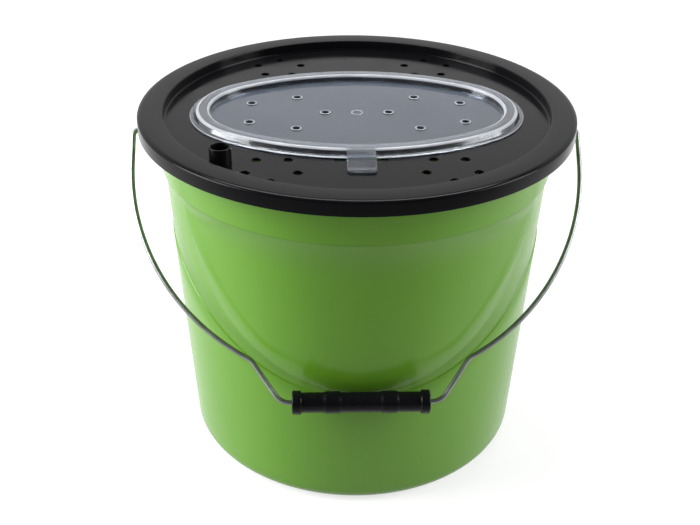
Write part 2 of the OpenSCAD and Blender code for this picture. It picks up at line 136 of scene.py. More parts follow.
# ---------------------------------------------------------------- hatch
HATCH_L = 0.2426
HATCH_W = 0.160
HATCH_END_R = 0.0623
HATCH_T = 0.0014
FLANGE_Z = 0.2585
FLANGE_W = 0.0028
FLANGE_T = 0.0011
RIDGE_TOP = 0.2634
RIDGE_OUT = 0.0052
RIDGE_IN = 0.0144
PANEL_Z = 0.2587
PANEL_HOLES = ((77.4, 18), (43.9, 29.4), (77.4, -18), (43.9, -29.4), (23.1, 0))
PANEL_HOLE_R = 0.0024
PANEL_RING_R = 0.0039
PANEL_RING_H = 0.0006
# Radius on the rings' tops inside which the painted shade lies and outside which the painted highlight lies.
RING_LIGHT_R = 0.0030
GATE_R = 0.0043
UPSTAND_OUT = 0.0106
UPSTAND_IN = 0.0124
UPSTAND_TOP = 0.2609
HINGE_Y = 0.0808
HINGE_SLOT = (-0.030, 0.0768, 0.030, 0.0858)
LATCH_SLOT = (-0.0177, -0.0826, 0.0177, -0.0770)
TONGUE_W = 0.048
TONGUE_T = 0.0016
TONGUE_HOOK = 0.0076
TONGUE_LOW = 0.2545
TAB_W = 0.0194
TAB_TIP_Y = -0.1015
TAB_ROUND = 0.0025
TAB_T = 0.0015
LATCH_Y = -0.0796
LATCH_LOW = 0.2539

# ---------------------------------------------------------------- air line port
PORT_R = 0.0074
PORT_BORE_R = 0.0062
PORT_FLANGE_R = 0.0093
PORT_FLANGE_T = 0.002
PORT_X = (PORT_LOW[0] + PORT_HIGH[0]) / 2
PORT_Y = (PORT_LOW[1] + PORT_HIGH[1]) / 2

# ---------------------------------------------------------------- camera
PHOTO_W = 700
FOCAL_PX = 1097.08
SENSOR_W = 36
ORBIT_R = 0.8635
ORBIT_Z = 0.1328
AZIMUTH = -2.35
ELEVATION = 29.963
PAN = 0.2465
TILT = 0.0247
ROLL = 0.862

ROUND_STEPS = 4
LATHE_STEPS = 240


# ================================================================ outlines

def polar(radius, angle, centre=(0, 0)):
    return (centre[0] + radius * cos(radians(angle)), centre[1] + radius * sin(radians(angle)))


def arc(centre, radius, start, end, steps):
    return [polar(radius, start + (end - start) * i / steps, centre) for i in range(steps + 1)]


def softened(corners, steps=ROUND_STEPS):
    """A closed outline from (x, y, rounding) corners, each rounded by an arc."""
    points = []
    for i, (x, y, rounding) in enumerate(corners):
        here = Vector((x, y))
        back = (Vector(corners[i - 1][:2]) - here)
        ahead = (Vector(corners[(i + 1) % len(corners)][:2]) - here)
        if rounding == 0:
            points.append((x, y))
            continue
        half = back.angle(ahead) / 2
        reach = min(rounding / tan(half), 0.49 * back.length, 0.49 * ahead.length)
        middle = here + (back.normalized() + ahead.normalized()).normalized() * (reach / cos(half))
        first = here + back.normalized() * reach - middle
        last = here + ahead.normalized() * reach - middle
        start = degrees(atan2(first.y, first.x))
        turn = degrees(first.angle_signed(last))
        points += arc(middle, first.length, start, start - turn, steps)
    return points


# ================================================================ mesh building

def join_rows(bm, rows, close_rows=True, close_columns=True, shades=None):
    """Quads between neighbouring rows of vertices; shades has a material index for each row."""
    count = len(rows)
    width = len(rows[0])
    for i in range(count if close_rows else count - 1):
        row = rows[i]
        following = rows[(i + 1) % count]
        for j in range(width if close_columns else width - 1):
            k = (j + 1) % width
            corners = []
            for vert in (row[j], row[k], following[k], following[j]):
                if vert not in corners:
                    corners.append(vert)
            if len(corners) > 2:
                face = bm.faces.new(corners)
                face.material_index = shades[i] if shades else 0


def lathe(bm, outline, centre=(0, 0), steps=LATHE_STEPS, place=Matrix(), shade=0):
    """Turns a closed outline of (radius, z) round the vertical through centre."""
    rows = []
    for i in range(steps):
        turn = 360 * i / steps
        row = []
        for radius, z in outline:
            x, y = polar(radius, turn, centre)
            row.append(bm.verts.new(place @ Vector((x, y, z))))
        rows.append(row)
    join_rows(bm, rows, shades=[shade] * steps)


def block(bm, low, high, rounding):
    """A box with rounded edges."""
    made = bmesh.ops.create_cube(bm, size=1)
    size = Vector(high) - Vector(low)
    middle = (Vector(high) + Vector(low)) / 2
    for vert in made["verts"]:
        vert.co = Vector([vert.co[i] * size[i] for i in range(3)]) + middle
    edges = list({edge for vert in made["verts"] for edge in vert.link_edges})
    bmesh.ops.bevel(bm, geom=edges, offset=rounding, segments=2, affect="EDGES", profile=0.5)


def pierced_plate(bm, outer, holes, top, low, rounding=HOLE_ROUND, shade=0, wall_shade=0):
    """A flat plate with rounded-over holes; outer and holes are lists of (x, y) points.

    Each hole is given as (loop, grown loop), where the grown loop is drawn on the faces."""
    loops = [outer] + [grown for _, grown in holes]
    triangles = tessellate_polygon([[Vector((x, y, 0)) for x, y in loop] for loop in loops])
    for z in (top, low):
        verts = [bm.verts.new((x, y, z)) for loop in loops for x, y in loop]
        for corners in triangles:
            bm.faces.new([verts[i] for i in corners]).material_index = shade
    for loop, grown in holes:
        rows = [
            [bm.verts.new((x, y, top)) for x, y in grown],
            [bm.verts.new((x, y, top - rounding)) for x, y in loop],
            [bm.verts.new((x, y, low + rounding)) for x, y in loop],
            [bm.verts.new((x, y, low)) for x, y in grown],
        ]
        join_rows(bm, rows, close_rows=False, shades=[wall_shade] * 3)


def round_hole(x, y, radius, steps=32):
    turns = [360 * i / steps for i in range(steps)]
    return ([polar(radius, t, (x, y)) for t in turns],
            [polar(radius + HOLE_ROUND, t, (x, y)) for t in turns])


def square_hole(x0, y0, x1, y1, corner=0.0008):
    def loop(grow):
        reach = corner + grow
        points = []
        for cx, cy, start in ((x1, y1, 0), (x0, y1, 90), (x0, y0, 180), (x1, y0, 270)):
            centre = (cx - corner * (1 if cx > 0 else -1), cy - corner * (1 if cy == y1 else -1))
            points += arc(centre, reach, start, start + 90, 4)
        return points
    return loop(0), loop(HOLE_ROUND)


def finish_piece(name, bm, body, node, slot, *materials, sharp=35):
    """Turns the mesh into an object that stands for a CAD node and rides on its body."""
    bmesh.ops.remove_doubles(bm, verts=bm.verts, dist=1e-6)
    bmesh.ops.dissolve_degenerate(bm, edges=bm.edges, dist=1e-7)
    bmesh.ops.recalc_face_normals(bm, faces=bm.faces)
    mesh = bpy.data.meshes.new(name)
    bm.to_mesh(mesh)
    bm.free()
    for polygon in mesh.polygons:
        polygon.use_smooth = True
    mesh.set_sharp_from_angle(angle=radians(sharp))
    for material in materials:
        mesh.materials.append(material)
    piece = bpy.data.objects.new(name, mesh)
    bpy.context.scene.collection.objects.link(piece)
    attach(piece, body)
    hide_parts(node)
    return piece


# ================================================================ materials

class Look:
    """A Principled material and short ways to feed its sockets from noise."""

    def __init__(self, name, color, roughness, metallic=0.0, ior=1.49, specular=0.5):
        self.material = bpy.data.materials.new(name)
        self.material.use_nodes = True
        self.tree = self.material.node_tree
        self.shader = self.tree.nodes["Principled BSDF"]
        self.color = color
        self.roughness = roughness
        self.set("Base Color", (*color, 1))
        self.set("Roughness", roughness)
        self.set("Metallic", metallic)
        self.set("IOR", ior)
        self.set("Specular IOR Level", specular)
        coords = self.tree.nodes.new("ShaderNodeTexCoord")
        self.place = coords.outputs["Object"]
        self.height = None

    def set(self, socket, value):
        self.shader.inputs[socket].default_value = value

    def link(self, output, socket):
        self.tree.links.new(output, socket)

    def stretched(self, scale):
        """Object coordinates stretched by a factor for each axis."""
        mapping = self.tree.nodes.new("ShaderNodeMapping")
        mapping.inputs["Scale"].default_value = scale
        self.link(self.place, mapping.inputs["Vector"])
        return mapping.outputs["Vector"]

    def noise(self, scale, detail=3, place=None):
        node = self.tree.nodes.new("ShaderNodeTexNoise")
        node.inputs["Scale"].default_value = scale
        node.inputs["Detail"].default_value = detail
        self.link(place or self.place, node.inputs["Vector"])
        return node.outputs["Fac"]

    def cells(self, scale, place=None):
        node = self.tree.nodes.new("ShaderNodeTexVoronoi")
        node.inputs["Scale"].default_value = scale
        self.link(place or self.place, node.inputs["Vector"])
        return node.outputs["Distance"]

    def range(self, value, low, high, to_low, to_high):
        node = self.tree.nodes.new("ShaderNodeMapRange")
        for socket, number in zip(("From Min", "From Max", "To Min", "To Max"),
                                  (low, high, to_low, to_high)):
            node.inputs[socket].default_value = number
        self.link(value, node.inputs["Value"])
        return node.outputs["Result"]

    def math(self, operation, first, second):
        node = self.tree.nodes.new("ShaderNodeMath")
        node.operation = operation
        for socket, value in zip(node.inputs, (first, second)):
            if isinstance(value, (int, float)):
                socket.default_value = value
            else:
                self.link(value, socket)
        return node.outputs["Value"]

    def blend(self, factor, first, second):
        """A colour between two, each an RGB tuple or an output."""
        node = self.tree.nodes.new("ShaderNodeMix")
        node.data_type = "RGBA"
        colors = [s for s in node.inputs if s.type == "RGBA"]
        self.link(factor, node.inputs[0])
        for socket, value in zip(colors, (first, second)):
            if isinstance(value, tuple):
                socket.default_value = (*value, 1)
            else:
                self.link(value, socket)
        return [s for s in node.outputs if s.type == "RGBA"][0]

    def paint(self, output):
        self.link(output, self.shader.inputs["Base Color"])

    def polish(self, output):
        self.link(output, self.shader.inputs["Roughness"])

    def bump(self, output, distance, strength=1.0):
        """Raises the surface by a texture; distance is the real height in metres."""
        node = self.tree.nodes.new("ShaderNodeBump")
        node.inputs["Distance"].default_value = distance
        node.inputs["Strength"].default_value = strength
        self.link(output, node.inputs["Height"])
        if self.height:
            self.link(self.height, node.inputs["Normal"])
        self.height = node.outputs["Normal"]
        self.link(self.height, self.shader.inputs["Normal"])


def bucket_green():
    """Glossy lime polypropylene with faint flow waves, scuffs and a few specks."""
    look = Look("bucket_green", (0.13, 0.33, 0.022), 0.3, specular=0.35)
    flow = look.noise(7, 3, look.stretched((1, 1, 0.4)))
    tint = look.blend(look.range(flow, 0.35, 0.65, 0, 1), (0.120, 0.310, 0.018), (0.142, 0.345, 0.026))
    specks = look.range(look.cells(42), 0.03, 0.045, 1, 0)
    rare = look.range(look.noise(9, 1, look.stretched((1, 1, 1.3))), 0.66, 0.68, 0, 1)
    look.paint(look.blend(look.math("MULTIPLY", specks, rare), tint, (0.05, 0.07, 0.02)))
    scuffs = look.range(look.noise(60, 6, look.stretched((1, 1, 0.7))), 0.45, 0.75, 0.24, 0.28)
    look.polish(scuffs)
    look.bump(look.noise(7, 2, look.stretched((1, 1, 0.6))), 0.0003, 0.07)
    look.bump(look.noise(1100, 2), 0.00002, 0.5)
    return look.material


def lid_black():
    """Black polypropylene, satin on top with a fine grain and a little dust."""
    look = Look("lid_black", (0.0035, 0.003, 0.0045), 0.16, specular=0.10)
    dust = look.range(look.cells(260), 0.05, 0.09, 1, 0)
    rare = look.range(look.noise(55, 2), 0.64, 0.68, 0, 0.5)
    look.paint(look.blend(look.math("MULTIPLY", dust, rare), (0.004, 0.004, 0.005), (0.05, 0.05, 0.06)))
    look.polish(look.range(look.noise(35, 5), 0.35, 0.7, 0.12, 0.22))
    look.bump(look.noise(14, 2), 0.0003, 0.25)
    look.bump(look.noise(1500, 2), 0.000015, 0.5)
    return look.material


def port_black():
    """Plain black moulded plastic, duller than the lid."""
    look = Look("port_black", (0.003, 0.003, 0.003), 0.4, specular=0.12)
    look.polish(look.range(look.noise(120, 4), 0.35, 0.7, 0.3, 0.42))
    look.bump(look.noise(900, 2), 0.00002, 0.6)
    return look.material


def grip_black():
    """Black polyethylene with a soft sheen and small scuffs."""
    look = Look("grip_black", (0.004, 0.004, 0.005), 0.3, specular=0.15)
    scuffs = look.range(look.noise(160, 6, look.stretched((0.3, 1, 1))), 0.5, 0.75, 0.24, 0.42)
    look.polish(scuffs)
    look.bump(look.noise(700, 3), 0.00003, 0.6)
    return look.material


def bail_zinc():
    """Zinc-plated wire, with draw marks along it and a slight clouding."""
    look = Look("bail_zinc", (0.30, 0.32, 0.31), 0.4, metallic=1.0)
    look.set("Specular Tint", (0.12, 0.14, 0.13, 1))
    cloud = look.range(look.noise(85, 4), 0.35, 0.65, 0, 1)
    look.paint(look.blend(cloud, (0.26, 0.28, 0.27), (0.34, 0.36, 0.35)))
    look.polish(look.range(look.noise(240, 5), 0.35, 0.7, 0.38, 0.48))
    look.bump(look.noise(900, 2), 0.00001, 0.3)
    return look.material


def hatch_clear(name="hatch_clear", specular=0.25):
    """Clear plastic of the ridge and the flange, and with less gloss of the tab."""
    look = Look(name, (0.72, 0.78, 0.86), 0.08, specular=specular)
    look.set("Transmission Weight", 0.98)
    cloud = look.range(look.noise(18, 3), 0.35, 0.65, 0, 1)
    look.paint(look.blend(cloud, (0.68, 0.74, 0.83), (0.77, 0.82, 0.89)))
    look.polish(look.range(look.noise(90, 5), 0.35, 0.7, 0.10, 0.2))
    look.bump(look.noise(22, 2), 0.0001, 0.12)
    return look.material


def hatch_panel():
    """The same plastic in the wide panel, which is smoky and faintly milky."""
    look = Look("hatch_panel", (0.34, 0.40, 0.54), 0.08, specular=0.5)
    look.set("Transmission Weight", 0.92)
    cloud = look.range(look.noise(18, 3), 0.35, 0.65, 0, 1)
    look.paint(look.blend(cloud, (0.32, 0.38, 0.52), (0.37, 0.43, 0.57)))
    look.polish(look.range(look.noise(90, 5), 0.35, 0.7, 0.05, 0.12))
    look.bump(look.noise(22, 2), 0.0002, 0.2)
    return look.material


def hatch_shaded():
    """Painted shade: near-black for the pin holes' walls and the middle of the rings round them, where the
    clear plastic only shows the dark inside.
    """
    look = Look("hatch_shaded", (0.012, 0.014, 0.017), 0.25, specular=0.2)
    cloud = look.range(look.noise(80, 3), 0.35, 0.65, 0, 1)
    look.paint(look.blend(cloud, (0.008, 0.009, 0.011), (0.016, 0.018, 0.022)))
    look.bump(look.noise(300, 2), 0.00002, 0.3)
    return look.material


def hatch_painted_highlight():
    """Painted highlight: the same plastic made milky white on its thin edges and on the rings round its holes,
    standing in for the highlights that light lays on them.
    """
    look = Look("hatch_painted_highlight", (0.62, 0.64, 0.69), 0.2, specular=0.5)
    look.set("Transmission Weight", 0.45)
    cloud = look.range(look.noise(60, 4), 0.3, 0.7, 0, 1)
    look.paint(look.blend(cloud, (0.54, 0.56, 0.61), (0.70, 0.72, 0.76)))
    look.bump(look.noise(500, 2), 0.00003, 0.4)
    return look.material


# ================================================================ bucket

def wall_r(z):
    return BASE_R + z * RISE


def bore_r(z):
    inner = wall_r(z) - WALL / cos(radians(DRAFT))
    return inner + COLLAR_OUT if z > COLLAR_Z else inner


def sweep_height(turn, circle_r, circle_z, top):
    """Height at which a sweep line crosses the wall at an angle round the bucket."""
    z = circle_z - circle_r
    for _ in range(12):
        across = wall_r(z) * cos(radians(turn))
        if abs(across) >= circle_r:
            return top
        z = min(circle_z - sqrt(circle_r ** 2 - across ** 2), top)
    return z


def eased(step, steps):
    share = step / steps
    return share * share * (3 - 2 * share)


def bucket_outline(turn):
    """Half section at an angle, from the middle of the underside out and back to the floor."""
    collar_foot = COLLAR_Z - COLLAR_CHAMFER
    lower = sweep_height(turn, SWEEP_OUT_R, SWEEP_OUT_Z, collar_foot)
    upper = sweep_height(turn, SWEEP_IN_R, SWEEP_IN_Z, collar_foot)
    round_x = BASE_R + CORNER_R * (RISE - 1 / cos(radians(DRAFT)))
    inner_round = CORNER_R - WALL
    inner_x = wall_r(FLOOR_Z) - WALL / cos(radians(DRAFT)) + inner_round * (RISE - 1 / cos(radians(DRAFT)))
    points = [(0, FOOT_H), (FOOT_IN_R - 0.0016, FOOT_H), (FOOT_IN_R - 0.0008, FOOT_H - 0.0004),
              (FOOT_IN_R - 0.0002, 0.0004), (FOOT_IN_R + 0.0006, 0)]
    points += arc((round_x, CORNER_R), CORNER_R, -90, -DRAFT, 10)
    start = points[-1][1]
    for i in range(1, 9):
        z = start + (lower - start) * i / 8
        points.append((wall_r(z), z))
    for i in range(1, 5):
        z = lower + SWEEP_STEP * i / 4
        points.append((wall_r(z) - SWEEP_DEPTH * eased(i, 4), z))
    low_end = lower + SWEEP_STEP
    high_end = max(upper - SWEEP_STEP, low_end)
    for i in range(1, 7):
        z = low_end + (high_end - low_end) * i / 6
        points.append((wall_r(z) - SWEEP_DEPTH, z))
    for i in range(1, 5):
        z = high_end + (upper - high_end) * i / 4
        points.append((wall_r(z) - SWEEP_DEPTH * (1 - eased(i, 4)), z))
    for i in range(1, 5):
        z = upper + (collar_foot - upper) * i / 4
        points.append((wall_r(z), z))
    collar = wall_r(COLLAR_Z) + COLLAR_OUT
    top_r = wall_r(RIM_TOP - RIM_T) + COLLAR_OUT
    points += softened([
        (wall_r(collar_foot) + 0.0001, collar_foot + 0.0001, 0),
        (collar, COLLAR_Z, 0.0006),
        (top_r, RIM_TOP - RIM_T, 0.0012),
        (RIM_R - RIM_T, RIM_TOP - RIM_T, 0.0006),
        (RIM_R - RIM_T, LIP_Z, 0.0004),
        (RIM_R, LIP_Z, 0.0004),
        (RIM_R, RIM_TOP, 0.0016),
        (MOUTH_R, RIM_TOP, 0.0008),
        (bore_r(COLLAR_Z + 0.001), COLLAR_Z + 0.001, 0),
        (bore_r(COLLAR_Z - 0.001), COLLAR_Z - 0.001, 0),
    ])
    points += arc((inner_x, FLOOR_Z + inner_round), inner_round, -DRAFT, -90, 8)
    points.append((0, FLOOR_Z))
    return points


def bucket_turns():
    """Angles of the columns, closer together where the upper sweep line meets the collar."""
    turns = {round(1.5 * i, 3) for i in range(240)}
    meeting = degrees(acos(SWEEP_IN_R / wall_r(COLLAR_Z)))
    for middle in (meeting, 180 - meeting, 180 + meeting, 360 - meeting):
        for i in range(-14, 15):
            turns.add(round(middle + 0.12 * i, 3))
    return sorted(turns)


def ear(bm, side):
    """A plate with a round foot and the wire's hole, between two webs under the rim."""
    def edge(turn):
        if turn >= 180:
            return EAR_W / 2
        reach = (RIM_TOP - RIM_T / 2 - PIVOT_Z) / max(sin(radians(turn)), 1e-6)
        return min(reach, EAR_W / 2 / max(abs(cos(radians(turn))), 1e-6))

    rounding = 0.0005
    out_x = EAR_OUT_X
    in_x = EAR_OUT_X - EAR_T
    rows = []
    for i in range(72):
        turn = 5 * i
        section = (
            (EAR_HOLE_R, out_x - rounding), (EAR_HOLE_R + rounding, out_x),
            (edge(turn) - rounding, out_x), (edge(turn), out_x - rounding),
            (edge(turn), in_x + rounding), (edge(turn) - rounding, in_x),
            (EAR_HOLE_R + rounding, in_x), (EAR_HOLE_R, in_x + rounding),
        )
        row = []
        for radius, x in section:
            y, z = polar(radius, turn, (0, PIVOT_Z))
            row.append(bm.verts.new((side * x, side * y, z)))
        rows.append(row)
    join_rows(bm, rows)
    web_low = PIVOT_Z - EAR_W / 4
    for web in (-1, 1):
        y = web * (EAR_W - EAR_T) / 2
        ends = sorted((side * MOUTH_R, side * (in_x + EAR_T / 2)))
        block(bm, (ends[0], y - EAR_T / 2, web_low), (ends[1], y + EAR_T / 2, RIM_TOP - RIM_T / 2),
              0.0003)


def rim_rib(bm, turn):
    """A stiffening rib under the rim flange."""
    spin = Matrix.Rotation(radians(turn), 4, "Z")
    before = set(bm.verts)
    block(bm, (MOUTH_R + 0.001, -RIB_T / 2, LIP_Z + 0.001), (RIM_R - RIM_T / 2, RIB_T / 2, RIM_TOP - RIM_T / 2),
          0.0002)
    for vert in set(bm.verts) - before:
        vert.co = spin @ vert.co


def make_bucket(material):
    bm = bmesh.new()
    rows = []
    for turn in bucket_turns():
        spin = Matrix.Rotation(radians(turn), 3, "Z")
        rows.append([bm.verts.new(spin @ Vector((r, 0, z))) for r, z in bucket_outline(turn)])
    join_rows(bm, rows, close_columns=False)
    for i in range(RIB_COUNT):
        if i % (RIB_COUNT // 2) != 0:
            rim_rib(bm, 360 * i / RIB_COUNT)
    for side in (-1, 1):
        ear(bm, side)
    finish_piece("bucket_moulding", bm, "bucket", "bucket", "bucket_green", material, sharp=42)


# ================================================================ bail and grip

def half_bail_path():
    """Centre line of the right half of the wire in the bail's own plane, from its hooked end."""
    slope = 180 + SHOULDER_SLOPE
    hoop_end = degrees(acos(SHOULDER_X / LEG_X))
    hoop_head = 270 - hoop_end
    foot = Vector((SHOULDER_X, -LEG_DROP - LEG_X * sin(radians(hoop_end))))
    inner = foot + SHOULDER_R * Vector((-sin(radians(hoop_head)), cos(radians(hoop_head))))
    slope_top = inner + SHOULDER_R * Vector((sin(radians(slope)), -cos(radians(slope))))
    slope_foot_y = -BAIL_REACH + SHOULDER_R * (1 + cos(radians(slope)))
    run = (slope_foot_y - slope_top.y) / sin(radians(slope))
    slope_foot = slope_top + run * Vector((cos(radians(slope)), sin(radians(slope))))
    outer = slope_foot + SHOULDER_R * Vector((sin(radians(slope)), -cos(radians(slope))))
    path = [(HOOK_X, -HOOK_R - HOOK_TAIL)]
    path += arc((HOOK_X + HOOK_R, -HOOK_R), HOOK_R, 180, 90, 8)
    path += arc((LEG_X - ELBOW_R, -ELBOW_R), ELBOW_R, 90, 0, 10)
    path += arc((0, -LEG_DROP), LEG_X, 0, -hoop_end, 40)
    path += arc(inner, SHOULDER_R, hoop_head - 90, slope - 90, 8)[::1]
    path += arc(outer, SHOULDER_R, slope + 90, 270, 10)
    return path


def hang():
    """Places the bail's own plane where it hangs on the bucket."""
    return Matrix.Translation((0, 0, PIVOT_Z)) @ Matrix.Rotation(radians(90 - BAIL_REST), 4, "X")


def make_bail(material):
    right = half_bail_path()
    path = right + [(-x, y) for x, y in reversed(right)]
    place = hang()
    bm = bmesh.new()
    rows = []
    last = len(path) - 1
    for i, (x, y) in enumerate(path):
        before = path[max(i - 1, 0)]
        after = path[min(i + 1, last)]
        along = Vector((after[0] - before[0], after[1] - before[1])).normalized()
        aside = Vector((-along.y, along.x))
        ends = ((0.55, 0.0), (0.9, 0.0003), (1, 0.0009)) if i == 0 else ((1, 0.0),)
        if i == last:
            ends = ((1, -0.0009), (0.9, -0.0003), (0.55, 0.0))
        for share, shift in ends:
            row = []
            for k in range(20):
                swing = 2 * pi * k / 20
                reach = WIRE_R * share * cos(swing)
                flat = Vector((x, y)) + along * shift + aside * reach
                row.append(bm.verts.new(place @ Vector((*flat, WIRE_R * share * sin(swing)))))
            rows.append(row)
    join_rows(bm, rows, close_rows=False)
    bm.faces.new(rows[0][::-1])
    bm.faces.new(rows[-1])
    finish_piece("bail_bent_wire", bm, "bail", "bail_wire", "bail_zinc", material, sharp=50)


def make_grip(material):
    ring_in = GRIP_RING_X - GRIP_RING_L / 2
    ring_out = GRIP_RING_X + GRIP_RING_L / 2
    ramp = 0.002
    end = GRIP_L / 2
    half = [
        (GRIP_R, ring_in, 0.0015), (GRIP_RING_R, ring_in + ramp, 0.0015),
        (GRIP_RING_R, ring_out - ramp, 0.0015), (GRIP_R, ring_out, 0.0015),
        (GRIP_R, end - GRIP_END_L - 0.0006, 0.0005), (GRIP_END_R, end - GRIP_END_L, 0.0005),
        (GRIP_END_R, end, 0.0012), (GRIP_BORE_R, end, 0.0003),
    ]
    outline = softened(half + [(r, -x, c) for r, x, c in reversed(half)])
    bm = bmesh.new()
    place = Matrix.Translation(GRIP_AXIS) @ Matrix.Rotation(radians(90), 4, "Y")
    lathe(bm, outline, steps=64, place=place)
    finish_piece("bail_tube_grip", bm, "grip", "bail_grip", "grip_black", material)


# ================================================================ lid, port and hatch

def oval(inward, steps=36):
    """The hatch's oval of four arcs, drawn in from its edge, counterclockwise from the right."""
    half_l = HATCH_L / 2 - HATCH_END_R
    half_w = HATCH_W / 2
    side_r = (half_l ** 2 + half_w ** 2 - HATCH_END_R ** 2) / (2 * (half_w - HATCH_END_R))
    joint = degrees(atan2(side_r - half_w, half_l))
    points = []
    for side in (1, -1):
        turn = 0 if side == 1 else 180
        end = arc((side * half_l, 0), HATCH_END_R - inward, turn - joint, turn + joint, steps)
        long_side = arc((0, side * (half_w - side_r)), side_r - inward,
                        turn + joint, turn + 180 - joint, steps)
        points += end[:-1] + long_side[:-1]
    return points


def oval_loft(bm, corners, painted_highlight=()):
    """Runs an outline of (step inward, z, rounding) corners round the hatch's oval.

    The roundings of the corners named in painted_highlight get the second material, a painted highlight."""
    owners = []
    for i, (_, _, rounding) in enumerate(corners):
        owners += [i] * (1 if rounding == 0 else ROUND_STEPS + 1)
    shades = []
    for here, ahead in zip(owners, owners[1:] + owners[:1]):
        shades.append(1 if here == ahead and here in painted_highlight else 0)
    columns = []
    for inward, z in softened(corners):
        columns.append([bm.verts.new((x, y, z)) for x, y in oval(inward)])
    join_rows(bm, columns, shades=shades)


def make_lid(material):
    bm = bmesh.new()
    skirt_in = LID_R - SKIRT_T
    plug = RECESS_R + SKIRT_T
    bead = 0.00025
    crest = []
    for i in range(13):
        across, up = polar(1, 90 * i / 12)
        crest.append((LID_R - CREST_W * (1 - across), LID_TOP - LID_EDGE_R * (1 - up), 0))
    lathe(bm, softened([
        (DECK_EDGE_R, DECK_LOW, 0), (plug, DECK_LOW, 0.0008), (plug, LID_TOP - LID_T, 0.0006),
        (skirt_in, LID_TOP - LID_T, 0.001), (skirt_in, LIP_Z - 0.0002, 0),
        (skirt_in - bead, LIP_Z - 0.0005, 0), (skirt_in - bead, SKIRT_Z, 0.0003),
        (LID_R, SKIRT_Z, 0.0005), *crest, (RECESS_R, LID_TOP, 0.001),
        (RECESS_R, DECK_Z, DECK_FILLET), (DECK_EDGE_R, DECK_Z, 0),
    ], steps=6))
    edge = [polar(DECK_EDGE_R, 360 * i / LATHE_STEPS) for i in range(LATHE_STEPS)]
    holes = [(oval(UPSTAND_IN), oval(UPSTAND_IN)), square_hole(*HINGE_SLOT), square_hole(*LATCH_SLOT),
             round_hole(PORT_X, PORT_Y, PORT_R)]
    for side_x in (-1, 1):
        for side_y in (-1, 1):
            for i in range(5):
                spot = polar(VENT_RING_R, side_y * (90 + 72 * i), (side_x * VENT_X, side_y * VENT_Y))
                holes.append(round_hole(*spot, VENT_R))
    pierced_plate(bm, edge, holes, DECK_Z, DECK_LOW)
    oval_loft(bm, [
        (UPSTAND_IN, DECK_LOW, 0), (UPSTAND_IN, UPSTAND_TOP, 0.0005),
        (UPSTAND_OUT, UPSTAND_TOP, 0.0005), (UPSTAND_OUT, DECK_LOW, 0),
    ])
    finish_piece("lid_moulding", bm, "lid", "lid", "lid_black", material, sharp=40)


def make_port(material):
    bm = bmesh.new()
    top = PORT_HIGH[2]
    low = PORT_LOW[2]
    lathe(bm, softened([
        (PORT_BORE_R, low, 0.0003), (PORT_FLANGE_R, low, 0.0004), (PORT_FLANGE_R, DECK_LOW, 0.0003),
        (PORT_R, DECK_LOW, 0), (PORT_R, top, 0.0005), (PORT_BORE_R, top, 0.0004),
    ]), centre=(PORT_X, PORT_Y), steps=72)
    finish_piece("air_line_port", bm, "lid", "air_port", "port_black", material)


def ribbon(bm, stations, rounding=0.0003):
    """A flat tongue along Y from (y, z low, z high, half width) stations."""
    rows = []
    for y, low, high, half in stations:
        r = min(rounding, (high - low) * 0.4, half * 0.4)
        ring = ((-half, low + r), (-half + r, low), (half - r, low), (half, low + r),
                (half, high - r), (half - r, high), (-half + r, high), (-half, high - r))
        rows.append([bm.verts.new((x, y, z)) for x, z in ring])
    join_rows(bm, rows, close_rows=False)
    bm.faces.new(rows[0])
    bm.faces.new(rows[-1][::-1])


def latch_tab(bm):
    """The tab runs off the ridge, widens to a lip and has rounded corners at its tip."""
    root_y = -HATCH_W / 2 + RIDGE_OUT + 0.001
    flat_y = root_y - 0.004
    tip_z = FLANGE_Z + FLANGE_T
    half = TAB_W / 2
    stations = [(root_y, RIDGE_TOP - TAB_T, RIDGE_TOP + 0.0002, half),
                (flat_y, RIDGE_TOP - TAB_T, RIDGE_TOP, half)]
    for i in range(1, 9):
        share = i / 8
        y = flat_y + (TAB_TIP_Y + TAB_ROUND - flat_y) * share
        top = RIDGE_TOP + (tip_z + 0.0008 - RIDGE_TOP) * share
        stations.append((y, top - TAB_T, top, half))
    for i in range(1, 9):
        turn = 90 * i / 8
        y = TAB_TIP_Y + TAB_ROUND * (1 - sin(radians(turn)))
        inward = TAB_ROUND * (1 - cos(radians(turn)))
        low = tip_z - 0.0007 if y > TAB_TIP_Y + 0.0014 else FLANGE_Z + 0.0002
        stations.append((y, low, tip_z + 0.0008, half - inward))
    ribbon(bm, stations)
    block(bm, (-half, LATCH_Y - 0.0004, LATCH_LOW), (half, LATCH_Y + HATCH_T - 0.0004, FLANGE_Z + FLANGE_T),
          0.0003)


def hinge_tongue(bm):
    """The tongue through the rear slot that hooks back under the lid."""
    half = TONGUE_W / 2
    y0 = HINGE_Y - TONGUE_T / 2
    y1 = HINGE_Y + TONGUE_T / 2
    block(bm, (-half, y0, TONGUE_LOW), (half, y1, FLANGE_Z + FLANGE_T), 0.0003)
    block(bm, (-half, y0, TONGUE_LOW), (half, HINGE_Y + TONGUE_HOOK, TONGUE_LOW + HATCH_T), 0.0003)
    block(bm, (-half, HATCH_W / 2 - FLANGE_W - 0.001, FLANGE_Z), (half, y1, FLANGE_Z + FLANGE_T), 0.0003)


